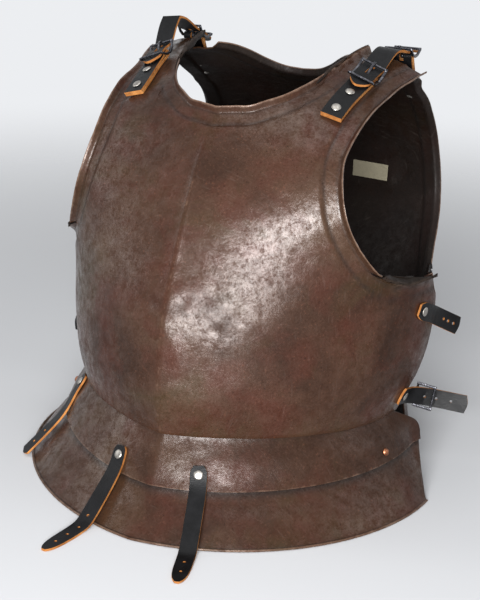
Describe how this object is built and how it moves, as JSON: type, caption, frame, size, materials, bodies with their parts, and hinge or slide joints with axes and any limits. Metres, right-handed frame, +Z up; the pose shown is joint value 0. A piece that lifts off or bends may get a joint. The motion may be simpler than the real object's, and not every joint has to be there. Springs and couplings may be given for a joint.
{
  "type": "cuirass",
  "caption": "Plate cuirass: breastplate and backplate joined by buckled shoulder straps, with a flared skirt of overlapping lames, side straps and hanging straps",
  "frame": {"origin": "middle of the footprint, on the table that the skirts stand on", "axes": "+X to the wearer's left, -Y where the wearer faces, +Z up"},
  "size_m": [0.5366, 0.5558, 0.5058],
  "materials": {
    "steel": "patinated, satin",
    "leather": "satin",
    "nickel": "satin",
    "gunmetal": "polished",
    "copper": "satin",
    "tag": "matte"
  },
  "bodies": {
    "base": {"front_tab_left": "leather", "front_tab_rivet_left_1": "nickel", "front_tab_rivet_left_2": "nickel", "front_buckle_left": "gunmetal", "rear_buckle_left": "gunmetal", "shoulder_strap_left": "leather", "front_tab_right": "leather", "front_tab_rivet_right_1": "nickel", "front_tab_rivet_right_2": "nickel", "front_buckle_right": "gunmetal", "rear_buckle_right": "gunmetal", "shoulder_strap_right": "leather", "skirt_rivet_left": "copper", "skirt_rivet_right": "copper", "side_strap_rivet_left_upper": "nickel", "side_strap_rivet_left_lower": "nickel", "side_strap_rivet_right_upper": "nickel", "side_strap_rivet_right_lower": "nickel", "tasset_rivet_left": "nickel", "tasset_rivet_right": "nickel", "tasset_rivet_outer": "nickel", "breastplate": "steel", "fauld_upper_lame": "steel"},
    "lower_lame": {"fauld_lower_lame": "steel"},
    "backplate": {"backplate": "steel", "rear_skirt_lame": "steel", "inner_tag": "tag", "rear_tab_left": "leather", "rear_tab_rivet_left_1": "nickel", "rear_tab_rivet_left_2": "nickel", "rear_tab_right": "leather", "rear_tab_rivet_right_1": "nickel", "rear_tab_rivet_right_2": "nickel", "rear_skirt_rivet_left": "nickel", "rear_skirt_rivet_right": "nickel", "side_tab_left_upper": "leather", "side_tab_rivet_left_upper": "nickel", "side_tab_right_upper": "leather", "side_tab_rivet_right_upper": "nickel", "side_tab_right_lower": "leather", "side_tab_rivet_right_lower": "nickel"},
    "front_prong_left": {"front_prong_left": "gunmetal"},
    "rear_prong_left": {"rear_prong_left": "gunmetal"},
    "side_strap_left_upper": {"side_strap_left_upper": "leather"},
    "side_strap_left_lower": {"side_strap_left_lower": "leather"},
    "front_prong_right": {"front_prong_right": "gunmetal"},
    "rear_prong_right": {"rear_prong_right": "gunmetal"},
    "side_strap_right_upper": {"side_strap_right_upper": "leather"},
    "side_strap_right_lower": {"side_strap_right_lower": "leather"},
    "side_buckle_left_upper": {"side_buckle_left_upper": "gunmetal"},
    "side_prong_left_upper": {"side_prong_left_upper": "gunmetal"},
    "side_buckle_right_upper": {"side_buckle_right_upper": "gunmetal"},
    "side_prong_right_upper": {"side_prong_right_upper": "gunmetal"},
    "side_buckle_right_lower": {"side_buckle_right_lower": "gunmetal"},
    "side_prong_right_lower": {"side_prong_right_lower": "gunmetal"},
    "loose_buckle": {"loose_buckle": "gunmetal"},
    "tasset_strap_left": {"tasset_strap_left": "leather"},
    "tasset_strap_right": {"tasset_strap_right": "leather"},
    "tasset_strap_outer": {"tasset_strap_outer": "leather"}
  },
  "joints": [
    {"name": "lower_lame_drop", "type": "hinge", "parent": "base", "child": "lower_lame", "pos_m": [0, -0.00264, 0.06149], "axis": [1, 0, 0], "range_deg": [0, 1.5]},
    {"name": "backplate_swing", "type": "hinge", "parent": "base", "child": "backplate", "pos_m": [0, 0.15347, 0.476], "axis": [1, 0, 0], "range_deg": [-6, 12]},
    {"name": "front_prong_left_turn", "type": "hinge", "parent": "base", "child": "front_prong_left", "pos_m": [0.12871, 0.06524, 0.46221], "axis": [0.9402, 0.0085, -0.3405], "range_deg": [0, 20]},
    {"name": "rear_prong_left_turn", "type": "hinge", "parent": "base", "child": "rear_prong_left", "pos_m": [0.138, 0.15347, 0.476], "axis": [-1, 0, 0], "range_deg": [0, 20]},
    {"name": "side_strap_left_upper_swivel", "type": "hinge", "parent": "base", "child": "side_strap_left_upper", "pos_m": [0.22268, 0.04285, 0.21715], "axis": [0.9737, -0.2249, -0.0369], "range_deg": [-4, 12]},
    {"name": "side_strap_left_lower_swivel", "type": "hinge", "parent": "base", "child": "side_strap_left_lower", "pos_m": [0.20686, 0.0455, 0.11066], "axis": [0.9351, -0.0889, -0.3431], "range_deg": [-12, 12]},
    {"name": "front_prong_right_turn", "type": "hinge", "parent": "base", "child": "front_prong_right", "pos_m": [-0.12871, 0.06524, 0.46221], "axis": [0.9402, -0.0085, 0.3405], "range_deg": [0, 20]},
    {"name": "rear_prong_right_turn", "type": "hinge", "parent": "base", "child": "rear_prong_right", "pos_m": [-0.13101, 0.15347, 0.476], "axis": [-1, 0, 0], "range_deg": [0, 20]},
    {"name": "side_strap_right_upper_swivel", "type": "hinge", "parent": "base", "child": "side_strap_right_upper", "pos_m": [-0.22268, 0.04285, 0.21715], "axis": [-0.9737, -0.2249, -0.0369], "range_deg": [-12, 4]},
    {"name": "side_strap_right_lower_swivel", "type": "hinge", "parent": "base", "child": "side_strap_right_lower", "pos_m": [-0.20686, 0.0455, 0.11066], "axis": [-0.9351, -0.0889, -0.3431], "range_deg": [-12, 12]},
    {"name": "side_buckle_left_upper_turn", "type": "hinge", "parent": "backplate", "child": "side_buckle_left_upper", "pos_m": [0.19367, 0.11754, 0.18078], "axis": [0.0718, -0.0213, 0.9972], "range_deg": [-70, 5]},
    {"name": "side_prong_left_upper_turn", "type": "hinge", "parent": "side_buckle_left_upper", "child": "side_prong_left_upper", "pos_m": [0.19367, 0.11754, 0.18078], "axis": [0.0718, -0.0213, 0.9972], "range_deg": [0, 70]},
    {"name": "side_buckle_right_upper_turn", "type": "hinge", "parent": "backplate", "child": "side_buckle_right_upper", "pos_m": [-0.19367, 0.11754, 0.18078], "axis": [0.0718, 0.0213, -0.9972], "range_deg": [-70, 5]},
    {"name": "side_prong_right_upper_turn", "type": "hinge", "parent": "side_buckle_right_upper", "child": "side_prong_right_upper", "pos_m": [-0.19367, 0.11754, 0.18078], "axis": [0.0718, 0.0213, -0.9972], "range_deg": [0, 70]},
    {"name": "side_buckle_right_lower_turn", "type": "hinge", "parent": "backplate", "child": "side_buckle_right_lower", "pos_m": [-0.18596, 0.12256, 0.11782], "axis": [0.1376, 0.0172, -0.9903], "range_deg": [-70, 5]},
    {"name": "side_prong_right_lower_turn", "type": "hinge", "parent": "side_buckle_right_lower", "child": "side_prong_right_lower", "pos_m": [-0.18596, 0.12256, 0.11782], "axis": [0.1376, 0.0172, -0.9903], "range_deg": [0, 70]},
    {"name": "tasset_left_swivel", "type": "hinge", "parent": "base", "child": "tasset_strap_left", "pos_m": [0.04986, -0.15601, 0.06216], "axis": [0.303, -0.8281, 0.4715], "range_deg": [-15, 15]},
    {"name": "tasset_right_swivel", "type": "hinge", "parent": "base", "child": "tasset_strap_right", "pos_m": [-0.04973, -0.15599, 0.06227], "axis": [-0.3028, -0.8283, 0.4714], "range_deg": [-15, 15]},
    {"name": "tasset_outer_swivel", "type": "hinge", "parent": "base", "child": "tasset_strap_outer", "pos_m": [-0.16802, -0.05076, 0.08486], "axis": [-0.6333, -0.4536, 0.627], "range_deg": [-6, 10]},
    {"name": "loose_buckle_slide", "type": "slide", "parent": "side_strap_left_lower", "child": "loose_buckle", "axis": [0.8553, 0.4914, -0.1642], "range_m": [-0.003, 0.001]}
  ]
}
